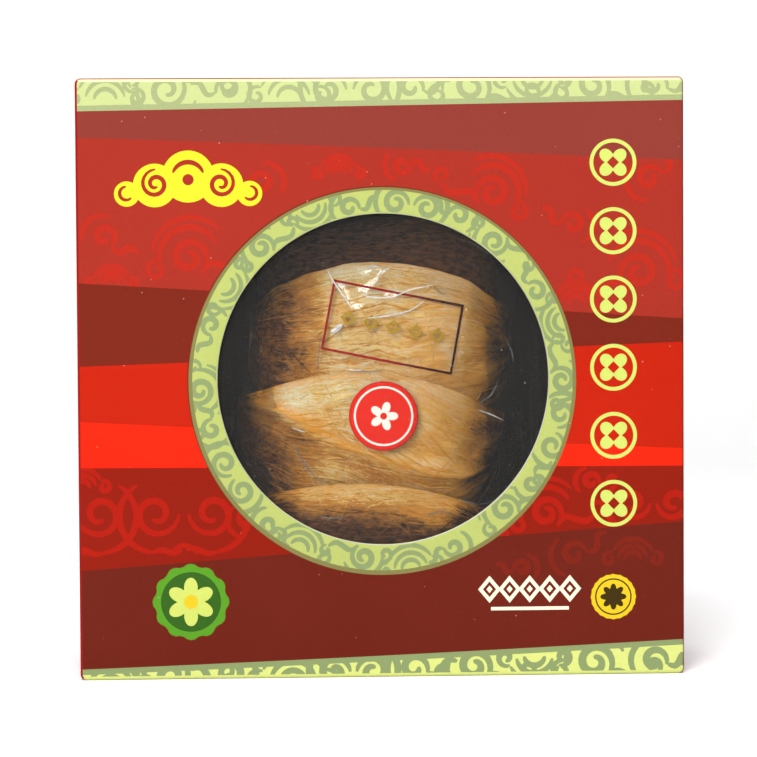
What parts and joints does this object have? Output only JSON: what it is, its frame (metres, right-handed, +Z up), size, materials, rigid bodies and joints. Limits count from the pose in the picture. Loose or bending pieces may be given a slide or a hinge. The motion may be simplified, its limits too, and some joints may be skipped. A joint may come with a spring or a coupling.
{
  "type": "boxed edible bird's nests",
  "caption": "Upright board gift box with a round film window, holding a clear pouch of edible swiftlet nests stacked as half cups.",
  "frame": {"origin": "middle of the box's footprint, on the surface that it stands on", "axes": "+Z up, the window faces -Y, +X is to the right as one looks at the window"},
  "size_m": [0.174, 0.062, 0.172],
  "materials": {
    "red_board": "satin",
    "dark_board": "matte",
    "clear_film": "gloss",
    "red_label": "satin",
    "nest_strands": "satin"
  },
  "bodies": {
    "root": {"lid": "red_board", "base": "dark_board", "window_film": "clear_film", "pouch": "clear_film", "sticker": "red_label", "nest_top": "nest_strands", "nest_middle": "nest_strands", "nest_bottom": "nest_strands", "nest_back_upper": "nest_strands", "nest_back_lower": "nest_strands"}
  },
  "joints": []
}
